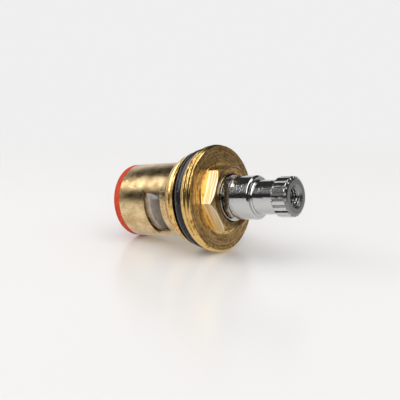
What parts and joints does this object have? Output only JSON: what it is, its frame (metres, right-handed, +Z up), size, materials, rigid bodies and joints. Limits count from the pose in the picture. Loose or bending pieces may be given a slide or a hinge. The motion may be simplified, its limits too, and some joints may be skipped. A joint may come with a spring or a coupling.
{
  "type": "ceramic disc tap cartridge",
  "caption": "Quarter-turn ceramic disc tap cartridge with brass head, windowed disc housing, rubber seal and splined chrome spindle, lying on its side.",
  "frame": {"origin": "middle of the footprint on the surface that the cartridge lies on, at the bottom of its box", "axes": "+Z up, +X along the cartridge's axis seen from above, towards the splined end, which rises by 8.4 degrees"},
  "size_m": [0.0459, 0.024, 0.0238],
  "materials": {
    "turned_brass": "turned",
    "satin_brass": "satin",
    "black_rubber": "moulded",
    "red_silicone": "moulded",
    "grey_plastic": "moulded",
    "white_ceramic": "lapped",
    "chromed_brass": "polished",
    "clip_steel": "blanked"
  },
  "bodies": {
    "cartridge_body": {"head_body": "turned_brass", "disc_housing": "satin_brass", "body_o_ring": "black_rubber", "seal_ring": "red_silicone", "seal_backing_ring": "grey_plastic", "fixed_disc": "white_ceramic", "thrust_washer": "grey_plastic"},
    "spindle": {"spindle": "chromed_brass", "spindle_o_ring_lower": "black_rubber", "spindle_o_ring_upper": "black_rubber", "retaining_clip": "clip_steel"},
    "valve_disc": {"disc_driver": "grey_plastic", "moving_disc": "white_ceramic"}
  },
  "joints": [
    {"name": "spindle_turn", "type": "hinge", "parent": "cartridge_body", "child": "spindle", "pos_m": [-0.02188, 0, 0.00834], "axis": [0.9893, 0, 0.1461], "range_deg": [0, 90]},
    {"name": "disc_turn", "type": "hinge", "parent": "cartridge_body", "child": "valve_disc", "pos_m": [-0.02188, 0, 0.00834], "axis": [0.9893, 0, 0.1461], "range_deg": [0, 90]}
  ],
  "couplings": [
    {"joint": "disc_turn", "follows": "spindle_turn", "ratio": 1}
  ]
}
